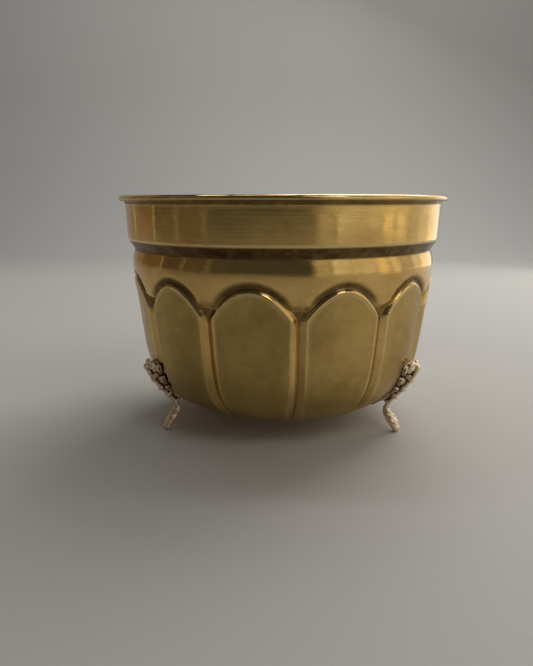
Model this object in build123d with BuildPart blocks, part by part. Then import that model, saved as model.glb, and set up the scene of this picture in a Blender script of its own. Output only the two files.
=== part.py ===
from build123d import *
from math import cos, radians, sin
import os

# A footed brass planter: a pot spun and pressed from one sheet, its rim rolled over a wire
# ring, standing on three cast feet that are screwed on from inside.
# Millimetres, +Z up. The origin is on the floor, on the pot's axis.
# An azimuth is an angle about the axis, from -Y (the front) towards +X (the right).

# ---- Driving dimensions
rim_radius = 105.0  # to the outside of the rolled rim
pot_height = 146.6  # floor to the top of the rim
sheet = 0.8  # thickness of the pot's wall

# Rolled rim
bead_radius = 1.75  # outside radius of the roll
wire_bed = 1.0  # inside radius of the roll
wire_radius = 0.97
roll_sweep = 305  # how far the sheet's edge curls round the wire, in degrees
wire_gap = 1.0  # between the butted ends of the wire, in degrees of the ring
bead_center = (rim_radius - bead_radius, pot_height - bead_radius)

# Outer face of the sheet, from the base edge up to the collar. Each station has a radius, a
# height, an outward lean in degrees, and how far its tangent pulls on the curve below and on
# the curve above, as a share of each curve's chord.
base_edge = (64.2, 14.0, 60.5, 0, 0.41)
wall_top = (95.9, 87.1, 7.5, 0.57, 0.33)
shoulder = (97.8, 105.7, 0, 0.33, 0.41)
neck = (96.1, 114.8, 0, 0.36, 0.42)
collar_corner = (99.2, 119.6, 36.9, 0.35, 0.33)
collar_bottom = (100.3, 124.0, 2.4, 0.48, 0)
stations = (base_edge, wall_top, shoulder, neck, collar_corner, collar_bottom)
collar_top = (101.0, 141.0)
base_cone = (51.0, 48.0)  # outer and inner radius of the cone that lifts the base's middle
base_lift = 1.6

# Pressed panels
panel_count = 12
panel_azimuth = 20.0  # of one panel's middle
arch_half_width = 21.3
arch_spring = 82.2  # height where the arch meets the panel's straight sides
arch_rise = 14.9
side_length = 40.0  # of the panel's straight sides, to well below the arch
cove_width = 5.0  # of the recess that follows the arch
cove_depth = 1.2
cove_top = arch_spring + arch_rise + 2 * cove_width  # above all of the recess
groove_half_width = 3.4
groove_depth = 2.2
groove_top = (96.3, 90.0, 7.5, 0.57, 0)
groove_run_out = 2.6  # how far outside the base edge the groove's line ends

# Feet
foot_azimuths = {"front_left": -60.0, "front_right": 60.0, "back": 180.0}
foot_gap = 0.05  # between a foot's back and the sheet
leaf_thickness = 2.3
leaf_sweep = 20  # of the plate that the leaf is cut from, in degrees about the axis
leaf_inside = 67.0  # nearest that the leaf comes to the axis
leaf_crown = (39.0, 5.5, 7.5)  # an oval: the height of its middle, its half width and half height
leaf_root = (20.0, 4.0, 6.0)
leaf_lobes = ((6.0, 40.0, 5.0), (4.2, 32.5, 4.6), (2.6, 26.0, 4.0))  # sideways, height, radius
spine_width = 5.0
spine_beads = ((94.9, 0, 42.8), (91.7, 0, 36.4), (86.9, 0, 29.4))
spine_bead_radius = 3.1
scrolls = ((93.2, -5, 43.6), (93.2, 5, 43.6))
scroll_radius = 2.7
leg_sections = ((0, 3.4, 3.0), (0.3, 2.8, 2.5), (0.6, 3.6, 3.1), (1, 4.6, 3.9))  # along, half axes
toe_radius = 4.4
toe_height = 3.1  # of the toe's middle, so that its underside is worn flat

# Screws: a slotted round head over a washer inside the pot, threaded into the foot
screw_places = {"upper": 0.41, "lower": 0.235}  # along the wall, base edge to wall top
screw_radius = 1.47
tapped_radius = 1.5
screw_reach = 3.8  # past the sheet's outer face
tapped_depth = 4.3
head_radius = 2.8
head_height = 1.9
head_round = 1.5
slot_width = 0.8
slot_depth = 0.9
washer_radius = 4.0
clearance_radius = 1.6  # of the holes in the washers and in the sheet
washer_thickness = 0.7
washer_lift = 0.3  # a flat washer spans the hollow of the curved wall
head_seat = sheet + washer_lift + washer_thickness


def polar(azimuth):
    """The angle about +Z, from +X, of an azimuth."""
    return azimuth - 90


def radial_plane(angle):
    """The upright plane at an angle about +Z, its x outwards and its y upwards."""
    a = radians(angle)
    return Plane(origin=(0, 0, 0), x_dir=(cos(a), sin(a), 0), z_dir=(sin(a), -cos(a), 0))


# ---- Pot shell


def tangent(station):
    """The direction of the sheet's outline at a station, going up."""
    lean = radians(station[2])
    return Vector(sin(lean), cos(lean))


def inset_point(station, inset):
    """A station's point, moved into the sheet along its normal."""
    up = tangent(station)
    return Vector(station[0] - inset * up.Y, station[1] + inset * up.X)


def curve_points(lower, upper, lower_inset, upper_inset):
    """Control points of the curve between two stations."""
    start = inset_point(lower, lower_inset)
    end = inset_point(upper, upper_inset)
    chord = (end - start).length
    pulls = (tangent(lower) * chord * lower[4], tangent(upper) * chord * upper[3])
    return [(point.X, point.Y) for point in (start, start + pulls[0], end - pulls[1], end)]


def block_half(inset, plane=Plane.XZ):
    """Half section of the pot as a solid block, inset from the sheet's outer face."""
    base_height = base_edge[1] + inset
    with BuildSketch(plane) as half:
        with BuildLine():
            Polyline(
                (0, collar_top[1]),
                (0, base_height + base_lift),
                (base_cone[1], base_height + base_lift),
                (base_cone[0], base_height),
                inset_point(base_edge, inset),
            )
            for lower, upper in zip(stations, stations[1:]):
                Bezier(*curve_points(lower, upper, inset, inset))
            Polyline(
                inset_point(collar_bottom, inset),
                (collar_top[0] - inset, collar_top[1]),
                (0, collar_top[1]),
            )
        make_face()
    return half.sketch


def panel_outline(grow):
    """A panel with a parabolic arch, seen from outside, larger all round by a given amount."""
    half_width = arch_half_width + grow
    bottom = arch_spring - side_length
    with BuildSketch() as panel:
        with BuildLine():
            pull = (0, arch_spring + 2 * (arch_rise + grow))
            arch = Bezier((-half_width, arch_spring), pull, (half_width, arch_spring))
            Polyline(arch @ 0, (-half_width, bottom), (half_width, bottom), arch @ 1)
        make_face()
    return panel.sketch


def cove_cutter(inset):
    """The recess over one panel's arch, for the panel that faces +X."""
    half_pitch = 180 / panel_count
    with BuildPart() as cutter:
        with BuildSketch(radial_plane(-half_pitch)):
            with Locations((0, arch_spring)):
                Rectangle(rim_radius, cove_top - arch_spring, align=(Align.MIN, Align.MIN))
            add(block_half(inset + cove_depth, Plane.XY), mode=Mode.SUBTRACT)
        revolve(axis=Axis.Z, revolution_arc=2 * half_pitch)
        with BuildSketch(Plane.YZ):
            add(panel_outline(cove_width + inset))
            add(panel_outline(-inset), mode=Mode.SUBTRACT)
        extrude(amount=rim_radius, mode=Mode.INTERSECT)
    return cutter.part


def groove_cutter(inset):
    """The V groove between two panels, at +X. It runs out to nothing at the base."""
    reach = 4.0  # of the cutter, clear of the sheet
    depth = groove_depth + 0.2 * inset
    half_width = groove_half_width / groove_depth * (reach + depth) + 0.5 * inset
    with BuildPart() as cutter:
        with BuildLine(Plane.XZ) as path:
            Bezier(*reversed(curve_points(base_edge, groove_top, -groove_run_out, 0)))
        with BuildSketch(Plane(origin=path.line @ 0, x_dir=(0, 1, 0), z_dir=path.line % 0)):
            with BuildLine():
                Polyline(
                    (0, -inset - depth),
                    (half_width, reach - inset),
                    (-half_width, reach - inset),
                    close=True,
                )
            make_face()
        sweep()
    return cutter.part


def pressed_block(inset):
    """The pot as a solid block with its panels pressed in, inset from the outer face."""
    half_pitch = 180 / panel_count
    with BuildPart() as block:
        add(block_half(inset))
        revolve(axis=Axis.Z)
        with PolarLocations(0, panel_count, start_angle=polar(panel_azimuth)):
            add(cove_cutter(inset), mode=Mode.SUBTRACT)
        with PolarLocations(0, panel_count, start_angle=polar(panel_azimuth + half_pitch)):
            add(groove_cutter(inset), mode=Mode.SUBTRACT)
    return block.part


with BuildLine(Plane.XZ) as wall:
    Bezier(*curve_points(base_edge, wall_top, 0, 0))


def screw_plane(place):
    """Where a screw crosses the wall's outer face, for a foot at +X, facing into the pot."""
    along = wall.line % place
    return Plane(origin=wall.line @ place, x_dir=(0, 1, 0), z_dir=(-along.Z, 0, along.X))


with BuildPart() as clearance_holes:
    for place in screw_places.values():
        with BuildSketch(screw_plane(place)):
            Circle(clearance_radius)
        extrude(amount=2 * sheet, both=True)

with BuildPart() as pot_shell:
    add(pressed_block(0))
    add(pressed_block(sheet), mode=Mode.SUBTRACT)
    # The sheet flares out under the rim and rolls over the wire
    with BuildSketch(Plane.XZ):
        with BuildLine():
            inside = CenterArc(bead_center, wire_bed, 180, -roll_sweep)
            outside = CenterArc(bead_center, bead_radius, 180, -roll_sweep)
            Line(inside @ 1, outside @ 1)
            Bezier(collar_top, (101.1, 142.4), (102.25, 143.2), inside @ 0)
            inner_top = (collar_top[0] - sheet, collar_top[1])
            Bezier(inner_top, (100.3, 142.6), (101.5, 143.4), outside @ 0)
            Line(collar_top, inner_top)
        make_face()
    revolve(axis=Axis.Z)
    with PolarLocations(0, len(foot_azimuths), start_angle=polar(foot_azimuths["back"])):
        add(clearance_holes.part, mode=Mode.SUBTRACT)

with BuildPart() as rim_wire:
    with BuildSketch(radial_plane(polar(foot_azimuths["back"]) + wire_gap)):
        with Locations(bead_center):
            Circle(wire_radius)
    revolve(axis=Axis.Z, revolution_arc=360 - wire_gap)

# ---- A foot, as it stands at +X

with BuildPart() as casting:
    # A lobed leaf lies against the wall, widest at the top
    with BuildSketch(radial_plane(-leaf_sweep / 2)):
        add(block_half(-leaf_thickness, Plane.XY))
    revolve(axis=Axis.Z, revolution_arc=leaf_sweep)
    with BuildSketch(Plane.YZ.offset(leaf_inside)):
        for height, half_width, half_height in (leaf_crown, leaf_root):
            with Locations((0, height)):
                Ellipse(half_width, half_height)
        for sideways, height, radius in leaf_lobes:
            with Locations((-sideways, height), (sideways, height)):
                Circle(radius)
    extrude(amount=rim_radius, mode=Mode.INTERSECT)
    # Its spine stands proud of the wall
    with BuildSketch(Plane.XZ):
        with BuildLine():
            Polyline((74, 20), (86, 42), (91, 46.5), (96.4, 46), (97.6, 43))
            Spline((97.6, 43), (94.2, 36), (89.4, 28.6), (84.4, 22.4), (80.4, 18))
            Polyline((80.4, 18), (75.4, 15.4), (74, 20))
        make_face()
    extrude(amount=spine_width / 2, both=True)
    # Beads along the spine, and a pair of scrolls at the top
    with Locations(*spine_beads):
        Sphere(spine_bead_radius)
    with Locations(*scrolls):
        Sphere(scroll_radius)
    # The leg curls out from under the pot and swells into the toe
    with BuildLine(Plane.XZ) as leg:
        Spline((79.6, 21.5), (77.0, 15.0), (78.2, 10.0), (84.8, toe_height))
    for along, half_width, half_depth in leg_sections:
        center = leg.line @ along
        with BuildSketch(Plane(origin=center, x_dir=(0, 1, 0), z_dir=leg.line % along)):
            Ellipse(half_width, half_depth)
    loft()
    with Locations(leg.line @ 1):
        Sphere(toe_radius)
    # Clear of the pot, flat on the floor, and drilled for the screws
    with BuildSketch(radial_plane(-leaf_sweep)):
        add(block_half(-foot_gap, Plane.XY))
    revolve(axis=Axis.Z, revolution_arc=2 * leaf_sweep, mode=Mode.SUBTRACT)
    split(bisect_by=Plane.XY)
    for place in screw_places.values():
        with BuildSketch(screw_plane(place)):
            Circle(tapped_radius)
        extrude(amount=-tapped_depth, mode=Mode.SUBTRACT)


# ---- A screw and its washer, for a foot at +X


def screw_at(place):
    """A slotted round-head screw."""
    joint = screw_plane(place)
    with BuildPart() as screw:
        with BuildSketch(joint.offset(head_seat)):
            Circle(head_radius)
        extrude(amount=head_height)
        crown = screw.faces().sort_by(Axis(joint.origin, joint.z_dir))[-1]
        fillet(crown.edges(), radius=head_round)
        with BuildSketch(joint.offset(head_seat + head_height)):
            Rectangle(3 * head_radius, slot_width)
        extrude(amount=-slot_depth, mode=Mode.SUBTRACT)
        with BuildSketch(joint.offset(head_seat)):
            Circle(screw_radius)
        extrude(amount=-head_seat - screw_reach)
    return screw.part


def washer_at(place):
    """A flat washer against the inside of the wall."""
    with BuildPart() as washer:
        with BuildSketch(screw_plane(place).offset(sheet + washer_lift)):
            Circle(washer_radius)
            Circle(clearance_radius, mode=Mode.SUBTRACT)
        extrude(amount=washer_thickness)
    return washer.part


# ---- Write every piece

os.makedirs("parts", exist_ok=True)

pot_shell.part.label = "pot_shell"
export_step(pot_shell.part, "parts/pot_shell.step")

rim_wire.part.label = "rim_wire"
export_step(rim_wire.part, "parts/rim_wire.step")

for corner, azimuth in foot_azimuths.items():
    pieces = {f"foot_{corner}": casting.part}
    for level, place in screw_places.items():
        pieces[f"screw_{corner}_{level}"] = screw_at(place)
        pieces[f"washer_{corner}_{level}"] = washer_at(place)
    for name, piece in pieces.items():
        with BuildPart() as placed:
            with Locations(Rotation(0, 0, polar(azimuth))):
                add(piece)
        placed.part.label = name
        export_step(placed.part, f"parts/{name}.step")
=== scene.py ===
from math import cos, pi, radians, sin, tan, tau

import bpy
import numpy as np
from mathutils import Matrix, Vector, noise


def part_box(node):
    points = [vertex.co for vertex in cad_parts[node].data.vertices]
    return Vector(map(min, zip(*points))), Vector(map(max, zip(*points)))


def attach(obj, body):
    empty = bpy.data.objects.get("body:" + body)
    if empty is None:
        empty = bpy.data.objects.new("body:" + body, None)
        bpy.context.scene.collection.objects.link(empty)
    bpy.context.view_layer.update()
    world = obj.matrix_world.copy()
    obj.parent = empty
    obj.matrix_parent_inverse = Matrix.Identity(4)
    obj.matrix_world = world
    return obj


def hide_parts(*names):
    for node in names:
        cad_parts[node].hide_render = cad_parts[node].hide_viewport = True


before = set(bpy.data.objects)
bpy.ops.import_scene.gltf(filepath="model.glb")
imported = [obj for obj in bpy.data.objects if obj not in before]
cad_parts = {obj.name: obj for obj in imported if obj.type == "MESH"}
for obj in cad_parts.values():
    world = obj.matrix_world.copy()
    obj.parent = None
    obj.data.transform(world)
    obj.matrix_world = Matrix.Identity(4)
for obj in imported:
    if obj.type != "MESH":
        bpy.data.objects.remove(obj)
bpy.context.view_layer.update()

# A footed brass planter. The CAD shell and feet are replaced by sculpted meshes; the screws,
# washers and rim wire keep their CAD meshes. Shapes are worked out in millimetres, in the
# CAD's frame, and go to Blender in metres.
# An azimuth is an angle about the axis, from -Y (the front) towards +X (the right).

MM = 0.001
SEED = 20

# ---- Pot: the CAD shell's own outline
shell_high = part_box("pot_shell")[1]
box_margins = (0.05, 0.02)  # how far inside the CAD's box the pot stays, across and up
rim_radius = shell_high.x / MM - box_margins[0]
pot_height = shell_high.z / MM - box_margins[1]
sheet = 0.8  # thickness of the wall
bead_radius = 1.75  # outside radius of the rolled rim
wire_bed = 1.0  # inside radius of the roll
roll_sweep = 305
bead_center = (rim_radius - bead_radius, pot_height - bead_radius)

# Each station of the outer face has a radius, a height, an outward lean in degrees, and how far
# its tangent pulls on the curve below and on the curve above, as a share of each curve's chord.
stations = (
    (64.2, 14.0, 60.5, 0, 0.41),
    (95.9, 87.1, 7.5, 0.57, 0.33),
    (97.8, 105.7, 0, 0.33, 0.41),
    (96.3, 113.3, -14, 0.36, 0.36),
    (96.42, 114.5, 33, 0.36, 0.33),
    (99.6, 119.4, 33, 0.33, 0.38),
    (100.2, 120.8, 2.4, 0.38, 0.33),
    (101.0, 141.0, 2.4, 0.33, 0),
)
base_radius, base_height = stations[0][:2]
base_cone = (51.0, 48.0)  # outer and inner radius of the cone that lifts the base's middle
base_lift = 1.6
base_round = 1.8  # how far from the base's corner its rounding starts
flare_outside = ((101.1, 142.4), (102.2, 143.2))  # what pulls the flare's two faces out
flare_inside = ((100.3, 142.6), (101.45, 143.4))
collar_top = stations[-1][:2]
shoulder_height = stations[2][1]
neck_height = stations[3][1]
corner_height = stations[6][1]
# Heights between which the crown and the waver set in; the screws' washers lie below them
uneven_from = (44, 62)
low_waver = 0.25  # share of the waver that is left below

# ---- Pressed panels
panel_count = 12
panel_azimuth = 20.0
pitch = 360 / panel_count
arch_half_width = 21.1
arch_spring = 82.0
arch_rise = 14.8
arch_radius = 96.3  # of the wall at the arches
arch_wander = 0.5  # how much the hand-set arches differ in height
groove_half_width = 3.6
groove_depth = 2.6
groove_slope = 0.72  # of its walls
groove_end = (84.5, 90.5)  # heights between which it runs out
cove_depth = 1.75
cove_reach = (3.0, 6.0)  # from the panel's edge to the recess's other edge, low and at the top
cove_start = (70, 84)  # heights between which the recess sets in
cove_round = 0.12  # of the corners inside the recess
edge_round = 0.25  # of the corner between the arch and the groove
flank_slope = 1.15  # of the panel's edge down into the recess
flank_round = 0.06  # of its start at the panel's edge
# How far past the arch beyond the groove the panel's edge turns from a groove's into an arch's
arch_blend = (-3, 1)
# Where the recess grows to its full size: heights from the apex, in rises of the arch
climb_span = (-1.0, -0.15)
# How strongly painted shade darkens the recess above each arch and the bottom of each groove
recess_shade, crease_shade = 0.95, 0.8
crease_depths = (2.15, 2.55)  # depths between which the bottom of a groove is darkened with painted shade
# Raised lines just inside the panel's edge: place, width, height, and height beside the grooves
ridges = ((-0.75, 0.5, 0.30, 0.17), (-2.3, 0.42, 0.13, 0.03))
panel_crown = 0.45  # how much further out a panel's middle is than its sides
arch_samples = 161  # places along an arch that distances are measured to
arch_overrun = 1.25  # how far those go beyond its sides, as a share of its half width
# Heights between which the mesh's rows start to follow the arches, and stop again
rows_follow = ((40, 93), (104, 113))

# How far, in degrees, each groove was set off its even place, from the first one at the front
groove_shifts = (0.7, 1.4, 0.6, -0.3, 0.5, -0.6, 0.4, -0.4, 0.3, -0.6, 0.4, -0.9)

# Distances across the wall of the mesh's columns from a groove's middle
column_places = (0, 0.4, 1.1, 1.9, 2.7, 3.3, 3.7, 4.1, 4.5, 4.9, 5.5, 6.6, 8.6)
column_places += (11.2, 13.8, 16.4, 19.2, 22.2)
# The mesh's rows: lowest and highest, and how far apart
row_spans = (
    (15.2, 60, 2.6),
    (60, 92, 1.6),
    (92, 104.4, 0.45),
    (104.4, 112, 1.0),
    (112, 121.6, 0.48),
    (121.6, collar_top[1], 2.0),
)
inner_rows = 2.2  # how many times further apart the rows are on the inner face

# Turns round the pot, and size in millimetres, of the waves that make it uneven
waver_waves = ((2, 0.10), (3, 0.08), (5, 0.05), (9, 0.035), (14, 0.03), (23, 0.02))

# ---- Feet
foot_azimuths = {"front_left": -60.0, "front_right": 60.0, "back": 180.0}
voxel = 0.24  # of the grid that a foot's forms are fused on
wall_gap = 0.12  # between a foot and the pot's wall
cast_grain = ((0.7, 0.10), (1.9, 0.06))  # how fine, and how high, its roughness is


def polar(azimuth):
    """The angle about +Z, from +X, of an azimuth."""
    return azimuth - 90


def smoothstep(low, high, value):
    t = np.clip((value - low) / (high - low), 0, 1)
    return t * t * (3 - 2 * t)


def mix(a, b, share):
    return a + (b - a) * share


def soft_min(a, b, radius):
    """The smaller of two heights, rounded where they cross."""
    return -radius * np.logaddexp(-a / radius, -b / radius)


def soft_max(a, b, radius):
    return radius * np.logaddexp(a / radius, b / radius)


def bezier(points, steps):
    """Points along a curve with four control points, both ends included."""
    t = np.linspace(0, 1, steps + 1)[:, None]
    p = np.array(points, float)
    u = 1 - t
    return u**3 * p[0] + 3 * u * u * t * p[1] + 3 * u * t * t * p[2] + t**3 * p[3]


def mesh_object(name, vertices, faces):
    """A new smooth object from points in millimetres."""
    mesh = bpy.data.meshes.new(name)
    mesh.from_pydata((np.asarray(vertices, float) * MM).tolist(), [], faces)
    mesh.validate()
    mesh.update()
    mesh.shade_smooth()
    item = bpy.data.objects.new(name, mesh)
    bpy.context.scene.collection.objects.link(item)
    return item


def ring_faces(rows, count, start=0):
    """Faces that join rings of points, the same count in each, from row to row."""
    faces = []
    for row in range(rows - 1):
        low, high = start + row * count, start + (row + 1) * count
        for column in range(count):
            after = (column + 1) % count
            faces.append((low + column, low + after, high + after, high + column))
    return faces


def paint(item, name, values):
    """A named number on each point of a mesh, for its material to read."""
    layer = item.data.attributes.new(name, "FLOAT", "POINT")
    layer.data.foreach_set("value", np.asarray(values, np.float32).ravel())


# ---- Pot


def wall_outline():
    """The outer face from base to collar: radius, height and outward normal, closely spaced."""

    def heading(lean):
        return np.array((sin(radians(lean)), cos(radians(lean))))

    runs = []
    for lower, upper in zip(stations, stations[1:]):
        start, end = np.array(lower[:2]), np.array(upper[:2])
        chord = np.linalg.norm(end - start)
        leave = heading(lower[2]) * chord * lower[4]
        arrive = heading(upper[2]) * chord * upper[3]
        runs.append(bezier((start, start + leave, end - arrive, end), 80)[:-1])
    points = np.vstack(runs + [np.array([collar_top])])
    along = np.gradient(points, axis=0)
    along /= np.linalg.norm(along, axis=1)[:, None]
    normals = np.stack((along[:, 1], -along[:, 0]), axis=1)
    return points, normals


wall_points, wall_normals = wall_outline()


def on_wall(height):
    """Radius and outward normal of the plain wall at a height."""
    values = (wall_points[:, 0], wall_normals[:, 0], wall_normals[:, 1])
    return [np.interp(height, wall_points[:, 1], value) for value in values]


groove_azimuths = panel_azimuth - pitch / 2 + pitch * np.arange(panel_count)


def pot_columns():
    """Azimuths of the mesh's columns, closest together over the grooves."""
    half = np.degrees(np.array(column_places) / arch_radius)
    one = np.concatenate((half, [pitch / 2], pitch - half[:0:-1]))
    return (groove_azimuths[:, None] + one[None, :]).ravel()


def groove_shift(azimuth):
    """How far a place on the wall is turned by the uneven setting of the grooves."""
    return np.interp(azimuth, groove_azimuths, groove_shifts, period=360)


def from_panel_middle(azimuth):
    """The nearest panel's number, and the angle from its middle in radians."""
    place = (azimuth - panel_azimuth) / pitch
    panel = np.round(place)
    return panel.astype(int) % panel_count, radians(1) * (place - panel) * pitch


def arch_fall(across):
    """How far the arch has come down from its apex at a distance across the panel."""
    return arch_rise * (across / arch_half_width) ** 2


def arch_height(across, apex):
    """Height of the arch at a distance across the panel, level again over the groove."""
    curve = apex - arch_fall(across)
    return soft_max(curve, apex - 1.35 * arch_rise, 1.5)


def row_heights(spread=1.0):
    """Heights of the wall's rows over a panel's middle, closest together at the arch."""
    rows = [np.arange(low, high - 0.3 * step, step * spread) for low, high, step in row_spans]
    return np.concatenate(rows + [np.array([collar_top[1]])])


def relief(azimuth, height, radius):
    """How deep the pressing is below the plain wall, and how much each point belongs to a
    panel, to its raised lines and to the painted shade in the pressing."""
    numbers = np.random.default_rng(SEED)
    apexes = arch_spring + arch_rise + arch_wander * numbers.uniform(-1, 1, panel_count)
    panel, turned = from_panel_middle(azimuth)
    across = turned * arch_radius
    groove = (radians(pitch / 2) - np.abs(turned)) * radius
    apex = apexes[panel]

    # Distance past the arch, measured to points along it
    samples = np.linspace(-arch_overrun, arch_overrun, arch_samples) * arch_half_width
    away = np.full(height.shape, np.inf)
    for x, fall in zip(samples, arch_fall(samples)):
        away = np.minimum(away, (across - x) ** 2 + (height - apex + fall) ** 2)
    above = height > apex - arch_fall(across)
    past_arch = np.where(above, 1, -1) * np.sqrt(away)
    past_side = groove_half_width - groove
    past = soft_max(past_arch, past_side, edge_round)

    on_arch = smoothstep(*arch_blend, past_arch - past_side)
    slope = mix(groove_slope, flank_slope, on_arch)
    flank = 0.5 * slope * (past + np.sqrt(past**2 + flank_round))
    climb = smoothstep(*climb_span, (height - apex) / arch_rise)
    share = np.clip(past_arch / mix(*cove_reach, climb), 0, 1)
    cove = cove_depth * (1 - share**2) * smoothstep(*cove_start, height) * mix(0.5, 1, climb)
    side = groove_depth * (1 - smoothstep(*groove_end, height))
    floor = soft_max(cove, side, cove_round)
    deep = soft_min(flank, floor, cove_round)

    # The raised lines and the panel's crown
    lines = np.zeros(height.shape)
    for place, width, rise, side_rise in ridges:
        ridge = np.exp(-(((past - place) / width) ** 2)) * mix(side_rise, rise, on_arch)
        lines += ridge / ridges[0][2]
        deep = deep - ridge
    crown = panel_crown * (across / arch_half_width) ** 2 * (past < 1)
    crown *= smoothstep(*uneven_from, height)
    deep = deep + crown * (1 - smoothstep(-4, 0, past))

    # What to paint, with painted shade in the recess above each arch and along the grooves'
    # bottoms
    inside = 1 - smoothstep(-2.5, 0.5, past)
    recess = recess_shade * (1 - smoothstep(0.55, 1.0, share)) * smoothstep(0.3, 1.3, past)
    recess *= on_arch * mix(0.3, 1, climb)
    crease = crease_shade * smoothstep(*crease_depths, deep)
    return deep, inside, lines, np.maximum(recess, crease)


def pot_wall(azimuth, rows, inset):
    """Points of the outer face, or of the face inset from it, with what to paint there."""
    apex = arch_spring + arch_rise
    across = from_panel_middle(azimuth)[1] * arch_radius
    start, stop = rows_follow
    follow = smoothstep(*start, rows) * (1 - smoothstep(*stop, rows))
    dip = arch_height(across, apex) - arch_height(np.array(0.0), apex)
    height = rows[:, None] + follow[:, None] * dip[None, :]
    radius, normal_r, normal_z = on_wall(height)
    turn = np.broadcast_to(azimuth[None, :], height.shape)
    deep, inside, lines, pressed_shade = relief(turn, height, radius)
    fade_top = 1 - smoothstep(shoulder_height, neck_height, height)
    fade_base = smoothstep(base_height - 1, base_height + 7, height)
    deep = deep * fade_top * fade_base + waver(turn, height)
    depth = deep + inset
    points = (radius - depth * normal_r, height - depth * normal_z)
    # The neck's band between the shoulder and the collar's corner gets painted shade on the outer
    # face
    band = smoothstep(neck_height - 0.4, neck_height + 0.5, height)
    band *= 1 - smoothstep(corner_height - 1.8, corner_height - 0.5, height)
    pressed_shade = np.maximum(pressed_shade * fade_top, band * (inset == 0))
    return points, inside * fade_top, pressed_shade, lines * fade_top


def waver(azimuth, height):
    """Slight unevenness left by the spinning and the press, in millimetres."""
    numbers = np.random.default_rng(SEED + 1)
    total = np.zeros(height.shape)
    for turns, size in waver_waves:
        phase, rise = numbers.uniform(0, tau), numbers.uniform(-1, 1)
        wave = turns * np.radians(azimuth) + phase + rise * turns * height / 60
        total += size * np.sin(wave)
    top = 1 - 0.75 * smoothstep(136, collar_top[1], height)
    low = mix(low_waver, 1, smoothstep(*uneven_from, height))
    return total * top * low * smoothstep(base_height, base_height + 6, height)


def rim_outline():
    """The flare and the roll, from the collar's outer face to its inner face, and the shade
    painted on them.
    """
    x, z = bead_center

    def arc(radius, start, end, steps):
        turn = np.radians(180 - np.linspace(start, end, steps))
        return np.stack((x + radius * np.cos(turn), z + radius * np.sin(turn)), axis=1)

    inner_top = (collar_top[0] - sheet, collar_top[1])
    bed_start, skin_start = (x - wire_bed, z), (x - bead_radius, z)
    bed, skin = arc(wire_bed, 0, roll_sweep, 10), arc(bead_radius, roll_sweep, 0, 24)
    flare_out = bezier((collar_top, *flare_outside, bed_start), 6)[1:-1]
    flare_in = bezier((inner_top, *flare_inside, skin_start), 5)[-2:0:-1]
    # Painted shade under the bead, in the roll and on the flare
    below = 0.9 * (1 - smoothstep(z - 1.5, z - 0.3, skin[:, 1]))
    shade_amount = (np.full(len(flare_out), 0.9), np.ones(len(bed)), below, np.zeros(len(flare_in)))
    return np.vstack((flare_out, bed, skin, flare_in)), np.concatenate(shade_amount)


def base_outline(inset):
    """The base from near the axis out to the start of the wall."""
    outer, inner = base_cone
    low, high = base_height + inset, base_height + base_lift + inset
    bend, dip = 1.2, 0.15  # how the cone's two corners are rounded
    row = row_heights()[0]
    radius, normal_r, normal_z = on_wall(row)
    wall = (radius - inset * normal_r, row - inset * normal_z)
    edge = base_radius - inset
    flat = [(r, high) for r in (2.0, 12.0, 24.0, 36.0, inner - bend)]
    halfway = (mix(inner, outer, 0.5), mix(high, low, 0.5))
    cone = [(inner, high - dip), halfway, (outer, low + dip)]
    ring = [(r, low) for r in (outer + bend, 57.0, edge - 2 * base_round, edge - base_round)]
    round_off = bezier((ring[-1], (edge - 0.4, low), (edge + 0.2, low + 0.1), wall), 4)[1:-1]
    return np.array(flat + cone + ring + round_off.tolist())


def make_pot():
    azimuth = pot_columns()
    turn = np.radians(polar(azimuth + groove_shift(azimuth)))
    count = len(azimuth)
    rings = []  # radius, height and three paint values for each row, round the whole sheet

    def plain(outline, shade_amount=0):
        for (r, z), painted_shade in zip(outline, np.broadcast_to(shade_amount, len(outline))):
            rings.append(np.full((count, 5), (r, z, 0, painted_shade, 0)))

    def wall(rows, inset, turned_over):
        (r, z), inside, pressed_shade, lines = pot_wall(azimuth, rows, inset)
        order = slice(None, None, -1) if turned_over else slice(None)
        rings.extend(np.stack((r, z, inside, pressed_shade, lines), axis=2)[order])

    plain(base_outline(0))
    wall(row_heights(), 0, False)
    plain(*rim_outline())
    wall(row_heights(inner_rows), sheet, True)
    plain(base_outline(sheet)[::-1])

    grid = np.array(rings)
    radius, height = grid[..., 0], grid[..., 1]
    points = np.stack((radius * np.cos(turn), radius * np.sin(turn), height), axis=2)
    rows = len(grid)
    faces = ring_faces(rows, count)
    vertices = points.reshape(-1, 3)
    poles = [(0, 0, base_height + base_lift), (0, 0, base_height + base_lift + sheet)]
    last = (rows - 1) * count
    for column in range(count):
        after = (column + 1) % count
        faces.append((rows * count, after, column))
        faces.append((rows * count + 1, last + column, last + after))
    pot = mesh_object("pot", np.vstack((vertices, poles)), faces)

    paints = grid[..., 2:].reshape(-1, 3)
    paints = np.vstack((paints, np.zeros((2, 3))))
    z = np.concatenate((height.ravel(), [base_height, base_height]))
    corner = np.exp(-(((z - corner_height + 0.3) / 0.7) ** 2))
    bead = smoothstep(pot_height - 1.9, pot_height - 0.6, z)
    paint(pot, "panel", paints[:, 0])
    # Painted shade in the pressing, round the neck and on the rim, for the material to darken
    paint(pot, "painted_shade", np.clip(paints[:, 1], 0, 1))
    paint(pot, "wear", np.clip(paints[:, 2] + 0.6 * corner + 0.8 * bead, 0, 1))
    return pot


# ---- Feet, each as it would stand at +X


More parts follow.
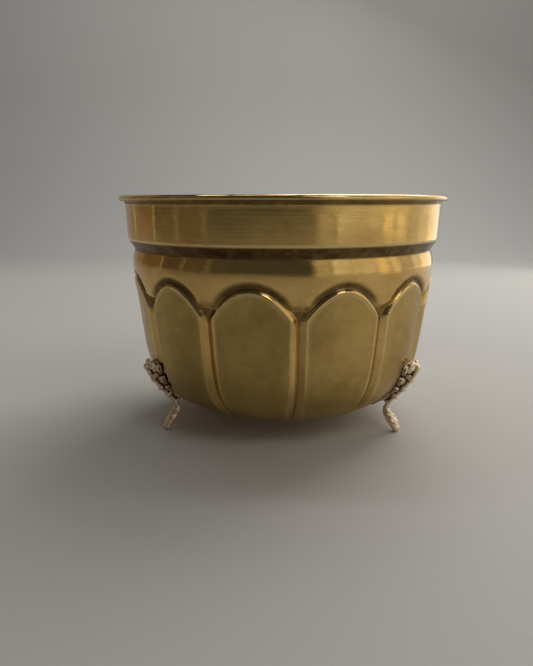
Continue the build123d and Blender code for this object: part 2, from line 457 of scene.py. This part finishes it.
class Lump:
    """Gathers the closed forms that one casting is fused from."""

    def __init__(self):
        self.vertices = []
        self.faces = []

    def grid(self, rings):
        """A closed form through rings of points, its ends filled in."""
        start = len(self.vertices)
        count = len(rings[0])
        for ring in rings:
            self.vertices.extend(ring)
        self.faces.extend(ring_faces(len(rings), count, start))
        last = start + (len(rings) - 1) * count
        self.faces.append(tuple(range(start + count - 1, start - 1, -1)))
        self.faces.append(tuple(range(last, last + count)))

    def tube(self, route, widths, depths=None, side=(0, 1, 0), corners=14):
        """A tube with round ends along a route, its section an oval."""
        route = np.array(route, float)
        depths = widths if depths is None else depths
        t = np.linspace(0, 1, len(route))
        fine = np.linspace(0, 1, 4 * len(route))
        line = np.stack([smooth_through(t, route[:, k], fine) for k in range(3)], axis=1)
        width = smooth_through(t, np.array(widths, float), fine)
        depth = smooth_through(t, np.array(depths, float), fine)
        along = np.gradient(line, axis=0)
        along /= np.linalg.norm(along, axis=1)[:, None]
        across = np.array(side, float) - along * (along @ np.array(side, float))[:, None]
        across /= np.linalg.norm(across, axis=1)[:, None]
        out = np.cross(along, across)
        turn = np.linspace(0, tau, corners, endpoint=False)
        rings = []
        for end in (0, -1):
            tip = []
            for lift in np.radians((80, 55, 30)):
                reach = 0.5 * (width[end] + depth[end]) * sin(lift)
                middle = line[end] + along[end] * reach * (1 if end else -1)
                size = cos(lift)
                ring = middle + size * (
                    width[end] * np.cos(turn)[:, None] * across[end]
                    + depth[end] * np.sin(turn)[:, None] * out[end]
                )
                tip.append(ring)
            rings.append(tip if end == 0 else tip[::-1])
        middle = [
            line[k]
            + width[k] * np.cos(turn)[:, None] * across[k]
            + depth[k] * np.sin(turn)[:, None] * out[k]
            for k in range(len(line))
        ]
        self.grid(rings[0] + middle + rings[1])

    def ball(self, center, radii, tilt=0.0):
        """An oval ball, tilted about the sideways axis by some degrees."""
        a, b, c = (radii, radii, radii) if np.isscalar(radii) else radii
        turn = np.linspace(0, tau, 16, endpoint=False)
        lean = radians(tilt)
        rings = []
        for rise in np.radians(np.linspace(-84, 84, 11)):
            x = a * cos(rise) * np.cos(turn)
            y = b * cos(rise) * np.sin(turn)
            z = np.full(turn.shape, c * sin(rise))
            out, up = x * cos(lean) + z * sin(lean), z * cos(lean) - x * sin(lean)
            rings.append(np.stack((out, y, up), axis=1) + np.array(center))
        self.grid(rings)


def smooth_through(t, values, fine):
    """A smooth line through values, which never overshoots them much (Catmull-Rom)."""
    slopes = np.gradient(values, t)
    place = np.clip(np.searchsorted(t, fine, side="right") - 1, 0, len(t) - 2)
    step = t[place + 1] - t[place]
    u = (fine - t[place]) / step
    a, b = values[place], values[place + 1]
    ma, mb = slopes[place] * step, slopes[place + 1] * step
    return (
        (2 * u**3 - 3 * u**2 + 1) * a
        + (u**3 - 2 * u**2 + u) * ma
        + (3 * u**2 - 2 * u**3) * b
        + (u**3 - u**2) * mb
    )


def off_wall(height, sideways, lift):
    """A point a small lift outside the pot's wall, sideways from a foot's middle plane."""
    radius, normal_r, normal_z = (float(v) for v in on_wall(height))
    out = radius + lift * normal_r
    turn = sideways / out
    return (out * cos(turn), out * sin(turn), height + lift * normal_z)


# The leaf's edge: height, and reach sideways. Its lobes point up and outwards.
leaf_edge = (
    (15.6, 0.6),
    (16.2, 1.7),
    (17.4, 2.5),
    (19.5, 2.7),
    (23.0, 2.2),
    (26.0, 2.4),
    (28.6, 4.9),
    (31.2, 7.2),
    (31.5, 4.8),
    (34.2, 6.6),
    (37.8, 8.1),
    (38.1, 5.4),
    (41.0, 7.2),
    (44.8, 8.0),
    (45.6, 5.6),
    (46.6, 1.6),
)
leaf_step = 0.25  # between the rows that it is made of
lobe_starts = ((2.0, 26.4), (2.4, 32.2), (2.4, 38.8))  # sideways and height
lobe_tips = ((6.9, 31.0), (7.8, 37.6), (7.7, 44.6))
lobe_half_width = 2.3
vein_half_width = 0.4
blade_lift = 1.1  # how far off the wall the leaf's outer face is between the lobes
# How far the leaf rises to the rib: height and lift at its middle
rib_lifts = (
    (19.6, 1.3),
    (21.6, 3.2),
    (27.0, 3.4),
    (30.8, 3.7),
    (37.0, 4.6),
    (42.2, 5.6),
    (46.0, 4.6),
)
rib_reach = 2.7  # how far sideways it is still rising


def leaf_blade(foot):
    """The leaf against the wall: three pairs of lobes, with a hollow between them and the rib."""
    heights, reaches = zip(*leaf_edge)
    tall = np.arange(heights[0], heights[-1], leaf_step)
    share = np.linspace(-1, 1, 65)
    middle = np.interp(tall, *zip(*rib_lifts))
    rings = []
    for height, half, tent in zip(tall, np.interp(tall, heights, reaches), middle):
        across = half * share
        side = np.abs(across)
        rise = (tent - blade_lift) * np.clip(1 - side / rib_reach, 0, 1) ** 1.6
        lift = blade_lift + rise
        for start, tip in zip(lobe_starts, lobe_tips):
            # Along the lobe's middle line from its start to its tip, and off that line
            line = np.subtract(tip, start)
            length = np.hypot(*line)
            right, up = side - start[0], height - start[1]
            along = (right * line[0] + up * line[1]) / length**2
            off = np.abs(up * line[0] - right * line[1]) / length
            body = np.clip(1 - (off / lobe_half_width) ** 2, 0, 1) * smoothstep(-0.35, 0.35, along)
            curl = 0.9 + 2.1 * smoothstep(0.2, 0.9, along)
            vein = 0.35 * np.exp(-((off / vein_half_width) ** 2)) * smoothstep(0.0, 0.3, along)
            lift = np.maximum(lift, blade_lift + body * curl - vein * (along < 1.2))
        # The leaf thins out at its edge
        lift = np.minimum(lift, 0.55 + 3.6 * (1 - np.abs(share) ** 4) + tent * (side < 2.6))
        outer = [off_wall(height, y, up) for y, up in zip(across, lift)]
        inner = [off_wall(height, y, wall_gap) for y in across[::-1]]
        rings.append(np.array(outer + inner))
    foot.grid(rings)


# The rib runs down from the scrolls and leaves the wall as a stem: place, and half its width
# and depth
rib = (
    ((95.4, 0, 44.6), 1.5, 1.4),
    ((95.3, 0, 40.6), 1.3, 1.2),
    ((92.2, 0, 35.0), 1.3, 1.2),
    ((87.6, 0, 28.6), 1.3, 1.2),
    ((83.2, 0, 23.6), 1.25, 1.1),
    ((79.2, 0, 19.2), 1.5, 1.4),
)
# Beads along it: center, and half the size each way
beads = (
    ((96.2, 0, 43.2), (2.1, 2.3, 2.2)),
    ((94.6, 0, 38.9), (1.35, 1.6, 1.5)),
    ((92.3, 0, 35.0), (1.9, 2.1, 2.0)),
    ((90.2, 0, 31.9), (1.25, 1.5, 1.35)),
    ((87.6, 0, 28.6), (2.15, 2.2, 2.2)),
    ((84.6, 0, 25.2), (1.35, 1.5, 1.35)),
)
# A boss holds each screw's end, under the rib: radius and height near the wall, and at the end
screw_bosses = (((89.6, 37.45), (91.5, 36.72)), ((81.5, 24.35), (82.9, 23.03)))
# One of the pair of scrolls that curls forward at the top: place and half its width
scroll = (
    ((95.0, 0.6, 44.8), 1.15),
    ((94.6, 2.6, 46.0), 1.3),
    ((93.5, 4.6, 45.5), 1.25),
    ((93.4, 5.2, 43.6), 1.1),
    ((94.6, 4.1, 43.0), 1.0),
)
scroll_eye = ((94.6, 3.5, 44.0), 1.25)
leg = (
    ((81.0, 0, 21.0), 1.5, 1.3),
    ((78.3, 0, 17.6), 1.7, 1.5),
    ((76.9, 0, 14.4), 1.9, 1.75),
    ((77.4, 0, 11.8), 2.5, 2.4),
    ((79.6, 0, 8.7), 3.3, 2.85),
    ((82.3, 0, 5.2), 3.6, 2.9),
    ((84.0, 0, 2.6), 3.1, 2.4),
)
# Rows of shallow scales down the leg's front: radius, height, and the leg's half width and depth
scale_rows = (
    (77.4, 12.4, 2.3, 2.2),
    (78.5, 10.4, 2.9, 2.6),
    (79.8, 8.5, 3.3, 2.85),
    (81.1, 6.7, 3.5, 2.9),
    (82.3, 5.0, 3.6, 2.9),
)
scale_turns = ((-44, 0, 44), (-68, -23, 23, 68))  # round the leg, in every other row
scale_size = (1.1, 1.05, 1.45)
scale_sink = 0.6  # how deep a scale's center is in the leg
leg_front = (0.79, 0.61)  # the way that the leg's front faces: outwards and up
scale_tilt = -48


def foot_forms():
    """The leaf, its beaded rib and scrolls, and the leg with its toe."""
    foot = Lump()
    leaf_blade(foot)
    foot.tube(*zip(*rib))
    for center, radii in beads:
        foot.ball(center, radii)
    for wall_end, tip in screw_bosses:
        middle = np.add(wall_end, tip) / 2
        foot.tube([(r, 0, z) for r, z in (wall_end, middle, tip)], (2.05, 2.05, 2.0))
    places, widths = zip(*scroll)
    for side in (-1, 1):
        foot.tube([(r, side * y, z) for r, y, z in places], widths, side=(1, 0, 0))
        (r, y, z), size = scroll_eye
        foot.ball((r, side * y, z), size)
    foot.tube(*zip(*leg))
    foot.ball((77.6, 0, 18.6), (2.4, 1.9, 1.3), 35)  # a swelling under the stem
    for row, (r, z, wide, deep) in enumerate(scale_rows):
        for turn in np.radians(scale_turns[row % 2]):
            reach = (deep - scale_sink) * cos(turn)
            aside = (wide - scale_sink) * sin(turn)
            center = (r + leg_front[0] * reach, aside, z + leg_front[1] * reach)
            foot.ball(center, scale_size, scale_tilt)
    foot.ball((84.0, 0, 2.4), (2.7, 3.2, 2.35), -12)  # the toe
    return foot


def settle(points, edges, rounds, share):
    """Smooths points towards the average of their neighbours."""
    a, b = edges
    degree = np.bincount(np.concatenate((a, b)), minlength=len(points))[:, None]
    for _ in range(rounds):
        total = np.zeros_like(points)
        np.add.at(total, a, points[b])
        np.add.at(total, b, points[a])
        points = mix(points, total / degree, share)
    return points


def cast(form):
    """Fuses the forms of a foot into one skin with a rough cast surface, in millimetres. Gives
    its points and faces, how proud each point is, and the painted shade on it."""
    rough = mesh_object("casting", form.vertices, form.faces)
    fuse = rough.modifiers.new("fuse", "REMESH")
    fuse.mode = "VOXEL"
    fuse.voxel_size = voxel * MM
    depsgraph = bpy.context.evaluated_depsgraph_get()
    mesh = bpy.data.meshes.new_from_object(rough.evaluated_get(depsgraph))
    points = np.array([v.co for v in mesh.vertices], float) / MM
    faces = [tuple(p.vertices) for p in mesh.polygons]
    edges = np.array([e.vertices[:] for e in mesh.edges])
    edges = (edges[:, 0], edges[:, 1])
    bpy.data.objects.remove(rough)
    bpy.data.meshes.remove(mesh)
    points = settle(points, edges, 5, 0.55)
    grain = np.zeros(len(points))
    for fineness, size in cast_grain:
        grain += np.array([noise.noise(Vector(p) * fineness) * size for p in points])
    item = mesh_object("grain", points, faces)
    normals = np.array([v.normal for v in item.data.vertices])
    bpy.data.objects.remove(item)
    points = points + normals * grain[:, None]
    points = settle(points, edges, 1, 0.4)
    # Clear of the wall, and flat on the floor
    radius = np.hypot(points[:, 0], points[:, 1])
    wall_r, wall_nr, wall_nz = on_wall(points[:, 2])
    gap = (radius - wall_r) * wall_nr
    on_pot = points[:, 2] > base_height
    push = np.clip(wall_gap - gap, 0, None) * on_pot
    points[:, 0] += push * wall_nr * points[:, 0] / radius
    points[:, 1] += push * wall_nr * points[:, 1] / radius
    points[:, 2] += push * wall_nz
    points[:, 2] = np.maximum(points[:, 2], 0.0)
    smooth = settle(points, edges, 40, 0.6)
    proud = np.sum((points - smooth) * normals, axis=1)
    # Painted shade in the hollows beside the rib and along the wall, as the points now stand
    on_pot = points[:, 2] > base_height
    hollows = 0.95 * (1 - smoothstep(1.3, 2.2, gap)) * smoothstep(19.5, 22, points[:, 2])
    along_wall = 0.8 * (1 - smoothstep(0.3, 1.0, gap)) * on_pot
    return points, faces, proud, np.maximum(hollows, along_wall)


def make_feet():
    points, faces, proud, shade_amount = cast(foot_forms())
    # Painted shade in the recesses, the hollows beside the rib and along the wall; wear on the
    # high points
    wear, painted_shade = smoothstep(0.02, 0.22, proud), np.maximum(smoothstep(0.02, 0.2, -proud), shade_amount)
    feet = []
    for place, azimuth in foot_azimuths.items():
        turn = radians(polar(azimuth))
        x = points[:, 0] * cos(turn) - points[:, 1] * sin(turn)
        y = points[:, 0] * sin(turn) + points[:, 1] * cos(turn)
        foot = mesh_object(f"leaf_foot_{place}", np.stack((x, y, points[:, 2]), axis=1), faces)
        paint(foot, "wear", wear)
        paint(foot, "painted_shade", painted_shade)
        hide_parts(f"foot_{place}")
        feet.append(foot)
    return feet


# ---- Materials


class Shader:
    """Builds the nodes of one metal."""

    def __init__(self, name):
        self.material = bpy.data.materials.new(name)
        self.material.use_nodes = True
        self.tree = self.material.node_tree
        self.tree.nodes.clear()

    def node(self, kind, settings=(), **inputs):
        made = self.tree.nodes.new("ShaderNode" + kind)
        for name, value in dict(settings).items():
            setattr(made, name, value)
        for name, value in inputs.items():
            self.give(made.inputs[name.replace("_", " ")], value)
        return made

    def give(self, socket, value):
        if isinstance(value, bpy.types.NodeSocket):
            self.tree.links.new(value, socket)
        else:
            socket.default_value = value

    def math(self, operation, *values, clamp=False):
        made = self.node("Math", {"operation": operation, "use_clamp": clamp})
        for socket, value in zip(made.inputs, values):
            self.give(socket, value)
        return made.outputs[0]

    def add(self, *values, clamp=False):
        return self.math("ADD", *values, clamp=clamp)

    def subtract(self, *values, clamp=False):
        return self.math("SUBTRACT", *values, clamp=clamp)

    def multiply(self, *values, clamp=False):
        return self.math("MULTIPLY", *values, clamp=clamp)

    def step(self, value, low, high):
        """0 below low, 1 above high, smooth between."""
        made = self.node("MapRange", {"interpolation_type": "SMOOTHSTEP"})
        for name, number in (("Value", value), ("From Min", low), ("From Max", high)):
            self.give(made.inputs[name], number)
        return made.outputs[0]

    def blend(self, share, a, b):
        """A colour between two colours."""
        made = self.node("Mix", {"data_type": "RGBA"})
        for socket, value in ((0, share), (6, a), (7, b)):
            self.give(made.inputs[socket], value)
        return made.outputs[2]

    def spots(self, vector, scale, detail=4.0, roughness=0.55):
        settings = {"Scale": scale, "Detail": detail, "Roughness": roughness}
        made = self.node("TexNoise", Vector=vector, **settings)
        return made.outputs["Factor" if "Factor" in made.outputs else "Fac"]

    def scaled(self, vector, factors):
        made = self.node("VectorMath", {"operation": "MULTIPLY"})
        self.give(made.inputs[0], vector)
        made.inputs[1].default_value = factors
        return made.outputs[0]

    def away(self, vector, point):
        """Distance from a point, in metres."""
        made = self.node("VectorMath", {"operation": "DISTANCE"})
        self.give(made.inputs[0], vector)
        made.inputs[1].default_value = point
        return made.outputs["Value"]

    def painted(self, name):
        return self.node("Attribute", {"attribute_name": name}).outputs["Fac"]

    def place(self):
        return self.node("TexCoord").outputs["Object"]

    def around_axis(self, position, spread, rise):
        """Coordinates that change slowly round the pot's axis and fast up it."""
        apart = self.node("SeparateXYZ", Vector=position)
        flat = self.node("CombineXYZ", X=apart.outputs[0], Y=apart.outputs[1])
        unit = self.node("VectorMath", {"operation": "NORMALIZE"})
        self.give(unit.inputs[0], flat.outputs[0])
        wide = self.scaled(unit.outputs[0], (spread, spread, 0))
        tall = self.node("CombineXYZ", Z=self.multiply(apart.outputs[2], rise))
        both = self.node("VectorMath", {"operation": "ADD"})
        self.give(both.inputs[0], wide)
        self.give(both.inputs[1], tall.outputs[0])
        return both.outputs[0]

    def metal(self, color, roughness, height, depth, anisotropic=0.0):
        """The finished metal. Its highlights are drawn out up the wall if it is anisotropic."""
        bump = self.node("Bump", Strength=1.0, Distance=depth, Height=height)
        made = self.node("BsdfPrincipled", Metallic=1.0, Roughness=roughness)
        self.give(made.inputs["Normal"], bump.outputs[0])
        self.give(made.inputs["Base Color"], color)
        if anisotropic:
            made.inputs["Anisotropic"].default_value = anisotropic
            made.inputs["Anisotropic Rotation"].default_value = 0.25
            tangent = self.node("Tangent", {"direction_type": "RADIAL", "axis": "Z"})
            self.give(made.inputs["Tangent"], tangent.outputs[0])
        out = self.node("OutputMaterial", Surface=made.outputs[0])
        out.is_active_output = True
        return self.material


# Colours of clean, worn, tarnished and dirty metal; the dirty brown is also used as painted shade
bright_brass = (0.74, 0.50, 0.18, 1)
rubbed_brass = (0.88, 0.68, 0.35, 1)
brown_brass = (0.42, 0.24, 0.07, 1)
olive_brass = (0.36, 0.25, 0.08, 1)
shade_and_dirt_brown = (0.085, 0.048, 0.018, 1)
pink_brass = (0.90, 0.71, 0.51, 1)
pale_brass = (0.95, 0.80, 0.60, 1)
turned_brass = (0.62, 0.45, 0.20, 1)
drawn_brass = (0.60, 0.42, 0.18, 1)
pit_place = (0.0800, -0.0486, 0.0613)  # of the one clear pit, on a panel's right side
pit_edge = (0.0004, 0.0009)  # its radius, where it starts and stops fading
rim_lines = (0.134, 0.139)  # heights between which the spun lines get deeper
spun_relief, cast_relief = 0.00003, 0.00012  # height of the finish's bumps, in metres
floor_greys = ((0.60, 0.59, 0.57, 1), (0.64, 0.63, 0.61, 1))


def pot_brass():
    """Spun and polished brass, satin and tarnished on the panels, with painted shade in the
    pressing.
    """
    s = Shader("aged_polished_brass")
    here = s.place()
    panel, painted_shade, wear = s.painted("panel"), s.painted("painted_shade"), s.painted("wear")
    broad = s.spots(here, 22.0, 5.0, 0.6)
    fine = s.spots(here, 160.0, 6.0, 0.65)
    # Spun lines and streaks run round the pot, and the panels' brush marks up it
    lines = s.spots(s.around_axis(here, 1.6, 1500.0), 1.0, 4.0, 0.7)
    streaks = s.spots(s.around_axis(here, 9.0, 260.0), 1.0, 3.0, 0.6)
    hair = s.spots(s.scaled(here, (900.0, 900.0, 45.0)), 1.0, 2.0, 0.5)

    # Colour: tarnish, painted shade in the pressing, rubbed edges
    tarnish = s.step(s.add(broad, s.multiply(fine, 0.35)), 0.55, 0.95)
    color = s.blend(s.multiply(tarnish, 0.55), bright_brass, brown_brass)
    color = s.blend(s.multiply(s.step(streaks, 0.45, 0.75), 0.22), color, brown_brass)
    satin = s.multiply(panel, s.add(0.5, s.multiply(tarnish, 0.45)))
    color = s.blend(satin, color, olive_brass)
    # Painted shade: the pressing, neck and rim are darkened towards dark brown
    shade_amount = s.multiply(painted_shade, s.add(0.62, s.multiply(fine, 0.6)), clamp=True)
    color = s.blend(shade_amount, color, shade_and_dirt_brown)
    rub = s.multiply(wear, s.step(fine, 0.3, 0.6))
    color = s.blend(rub, color, rubbed_brass)

    # Pits: scattered ones, and the one clear one
    pit_field = s.node("TexVoronoi", {"feature": "F1"}, Vector=here, Scale=75.0)
    pit = s.subtract(1.0, s.step(pit_field.outputs["Distance"], 0.02, 0.06))
    pit = s.multiply(pit, s.step(s.spots(here, 60.0, 1.0), 0.66, 0.7))
    clear_pit = s.subtract(1.0, s.step(s.away(here, pit_place), *pit_edge))
    pit = s.math("MAXIMUM", pit, clear_pit)
    color = s.blend(s.multiply(pit, 0.85), color, shade_and_dirt_brown)

    # Fine scuffs, where a wandering noise crosses its middle value
    wander = s.math("ABSOLUTE", s.subtract(s.spots(here, 38.0, 2.0), 0.5))
    scuff = s.subtract(1.0, s.step(wander, 0.001, 0.006))
    scuff = s.multiply(scuff, s.step(s.spots(here, 17.0, 1.0), 0.6, 0.68))
    color = s.blend(s.multiply(scuff, 0.25), color, rubbed_brass)

    rough = s.add(0.085, s.multiply(panel, 0.22))
    rough = s.add(rough, s.multiply(tarnish, 0.07))
    rough = s.add(rough, s.multiply(s.step(lines, 0.4, 0.8), 0.06))
    rough = s.add(rough, s.multiply(shade_amount, 0.3))
    rough = s.subtract(rough, s.multiply(rub, 0.05), clamp=True)

    spun = s.multiply(lines, s.subtract(1.0, s.multiply(panel, 0.75)))
    near_rim = s.step(s.node("SeparateXYZ", Vector=here).outputs[2], *rim_lines)
    spun = s.multiply(spun, s.add(1.0, s.multiply(near_rim, 1.5)))
    brushed = s.multiply(hair, s.multiply(panel, 0.35))
    height = s.add(s.add(spun, brushed), s.multiply(fine, 0.5))
    height = s.subtract(height, s.multiply(pit, 3.0))
    return s.metal(color, rough, height, spun_relief, anisotropic=0.5)


def foot_brass():
    """Rough cast brass, rubbed on the high points, with painted shade in the recesses."""
    s = Shader("cast_brass_rough")
    here = s.place()
    painted_shade, wear = s.painted("painted_shade"), s.painted("wear")
    broad = s.spots(here, 120.0, 4.0, 0.6)
    fine = s.spots(here, 700.0, 6.0, 0.7)
    color = s.blend(s.multiply(s.step(broad, 0.5, 0.8), 0.6), pink_brass, brown_brass)
    # Painted shade darkens the recesses, the hollows and the edge along the wall
    shade_amount = s.multiply(painted_shade, s.add(0.6, fine), clamp=True)
    color = s.blend(shade_amount, color, shade_and_dirt_brown)
    rub = s.multiply(wear, s.step(fine, 0.3, 0.55))
    color = s.blend(rub, color, pale_brass)
    rough = s.add(0.34, s.multiply(fine, 0.2))
    rough = s.add(rough, s.multiply(shade_amount, 0.25))
    rough = s.subtract(rough, s.multiply(rub, 0.12))
    height = s.add(fine, s.multiply(broad, 1.5))
    return s.metal(color, rough, height, cast_relief)


def fitting_brass(name, shade, dullness):
    """Turned brass of the screws and washers, and drawn brass of the rim's wire."""
    s = Shader(name)
    here = s.place()
    broad = s.spots(here, 260.0, 5.0, 0.6)
    fine = s.spots(here, 1500.0, 4.0, 0.6)
    color = s.blend(s.step(broad, 0.35, 0.75), shade, brown_brass)
    color = s.blend(s.step(fine, 0.6, 0.8), color, shade_and_dirt_brown)
    rough = s.add(dullness, s.multiply(broad, 0.2))
    return s.metal(color, rough, s.add(broad, fine), spun_relief)


def studio_grey():
    """The floor: plain, pale and matt, with a trace of unevenness."""
    s = Shader("pale_floor")
    here = s.place()
    tone = s.spots(here, 3.0, 3.0)
    color = s.blend(tone, *floor_greys)
    made = s.node("BsdfPrincipled", Roughness=0.75)
    s.give(made.inputs["Base Color"], color)
    s.node("OutputMaterial", Surface=made.outputs[0])
    return s.material


# ---- Studio


def make_stage():
    """A pale sheet that lies under the pot and sweeps up behind it."""
    depth, wide, rise, bend = 3200, 2600, 1500, 500
    back = 1100
    profile = [(-depth, 0), (-400, 0), (0, 0), (back, 0)]
    for turn in np.radians(np.linspace(0, 90, 13))[1:]:
        profile.append((back + bend * sin(turn), bend - bend * cos(turn)))
    profile.append((back + bend, rise + bend))
    rows = [((-wide, y, z), (wide, y, z)) for y, z in profile]
    vertices = [point for row in rows for point in row]
    faces = [(2 * k, 2 * k + 1, 2 * k + 3, 2 * k + 2) for k in range(len(profile) - 1)]
    floor = mesh_object("stage_floor", vertices, faces)
    floor.data.materials.append(studio_grey())


def soft_light(name, place, target, size, glow, color):
    """A soft box whose face has a given radiance. The camera sees only what it reflects in."""
    light = bpy.data.lights.new(name, "AREA")
    light.shape = "RECTANGLE"
    light.size, light.size_y = size
    light.energy = glow * pi * size[0] * size[1]
    light.color = color
    item = bpy.data.objects.new(name, light)
    item.location = place
    item.rotation_mode = "QUATERNION"
    item.rotation_quaternion = (Vector(target) - Vector(place)).to_track_quat("-Z", "Y")
    item.visible_camera = False
    bpy.context.scene.collection.objects.link(item)


def around(azimuth, distance, height):
    """A place in the studio, in metres."""
    turn = radians(polar(azimuth))
    return (distance * cos(turn), distance * sin(turn), height)


# Tall soft boxes in an arc round the pot: first and last azimuth, radiance, and share of green
# and of blue. The warm ones on the left are dim.
strips = (
    (-146, -128, 0.08, 0.6, 0.2),
    (-127, -124, 0.3, 0.75, 0.35),
    (-123, -98, 0.11, 0.55, 0.16),
    (-97, -95, 0.35, 0.8, 0.45),
    (-93, -76, 0.05, 0.65, 0.28),
    (-75, -73, 0.28, 0.85, 0.6),
    (-71, -56, 0.06, 0.65, 0.28),
    (-54, -51, 0.16, 0.85, 0.55),
    (-50, -36, 0.03, 0.8, 0.5),
    (23, 34, 0.42, 0.94, 0.8),
    (36, 39, 0.95, 0.98, 0.86),
    (39.5, 50, 0.6, 1.0, 0.94),
    (51, 54, 0.85, 0.94, 0.68),
    (55, 68, 0.62, 0.97, 0.88),
    (69, 80, 0.95, 0.88, 0.62),
    (81.5, 92, 0.85, 0.92, 0.72),
    (93, 104, 0.5, 0.97, 0.86),
    (105, 117, 0.75, 0.96, 0.85),
    (118, 146, 1.15, 0.94, 0.8),
)
strip_distance, strip_length, strip_lift = 1.05, 0.95, 0.01
world_color, world_glow = (0.85, 0.9, 1.0, 1), 0.05


def make_lights():
    """The strips, a dim panel in front, two boxes high up, and one that lights the backdrop."""
    world = bpy.data.worlds.new("studio")
    world.use_nodes = True
    background = world.node_tree.nodes["Background"]
    background.inputs["Color"].default_value = world_color
    background.inputs["Strength"].default_value = world_glow
    bpy.context.scene.world = world
    height = strip_length / 2 + strip_lift
    for number, (first, last, glow, green, blue) in enumerate(strips):
        azimuth = (first + last) / 2
        place, target = around(azimuth, strip_distance, height), around(azimuth, 0, height)
        width = 2 * strip_distance * tan(radians((last - first) / 2))
        color = (1.0, green, blue)
        soft_light(f"strip_{number}", place, target, (width, strip_length), glow, color)
    place, target = around(-6, 0.75, 0.48), around(-6, 0, 0.48)
    soft_light("front", place, target, (0.84, strip_length), 0.02, (1.0, 0.8, 0.5))
    pot_middle = (0, 0, 0.08)
    place = around(150, 0.95, 1.2)
    soft_light("high_back", place, pot_middle, (1.0, 1.0), 2.6, (1.0, 0.98, 0.96))
    place = around(35, 1.2, 1.3)
    soft_light("high_front", place, pot_middle, (0.6, 0.6), 2.0, (1.0, 0.97, 0.93))
    place, target = (0, 0.3, 1.7), (0, 1.6, 0.5)
    soft_light("wash", place, target, (1.8, 0.4), 3.5, (1.0, 0.99, 0.97))


def make_camera():
    """The eye is a little above the rim, looking slightly down and to the left."""
    distance = 0.417
    height = (bead_center[1] - 0.95) * MM
    pitch_down, yaw = radians(12.118), radians(-1.434)
    focal_pixels, long_side = 620.4, 666
    lens = bpy.data.cameras.new("camera")
    lens.sensor_width = 36
    lens.lens = focal_pixels / long_side * lens.sensor_width
    lens.clip_start = 0.01
    camera = bpy.data.objects.new("camera", lens)
    camera.location = (0, -distance, height)
    look = Vector((sin(yaw) * cos(pitch_down), cos(yaw) * cos(pitch_down), -sin(pitch_down)))
    camera.rotation_mode = "QUATERNION"
    camera.rotation_quaternion = look.to_track_quat("-Z", "Y")
    bpy.context.scene.collection.objects.link(camera)
    bpy.context.scene.camera = camera


def dress(item, material):
    item.data.materials.clear()
    item.data.materials.append(material)


bpy.context.scene.view_settings.view_transform = "Standard"
make_camera()
make_stage()
make_lights()

pot = make_pot()
dress(pot, pot_brass())
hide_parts("pot_shell")
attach(pot, "root")

cast_brass = foot_brass()
for foot in make_feet():
    dress(foot, cast_brass)
    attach(foot, "root")

screw_brass = fitting_brass("screw_brass_dull", turned_brass, 0.25)
wire_brass = fitting_brass("wire_brass_drawn", drawn_brass, 0.3)
for name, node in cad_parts.items():
    if name.startswith(("screw_", "washer_")):
        dress(node, screw_brass)
dress(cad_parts["rim_wire"], wire_brass)
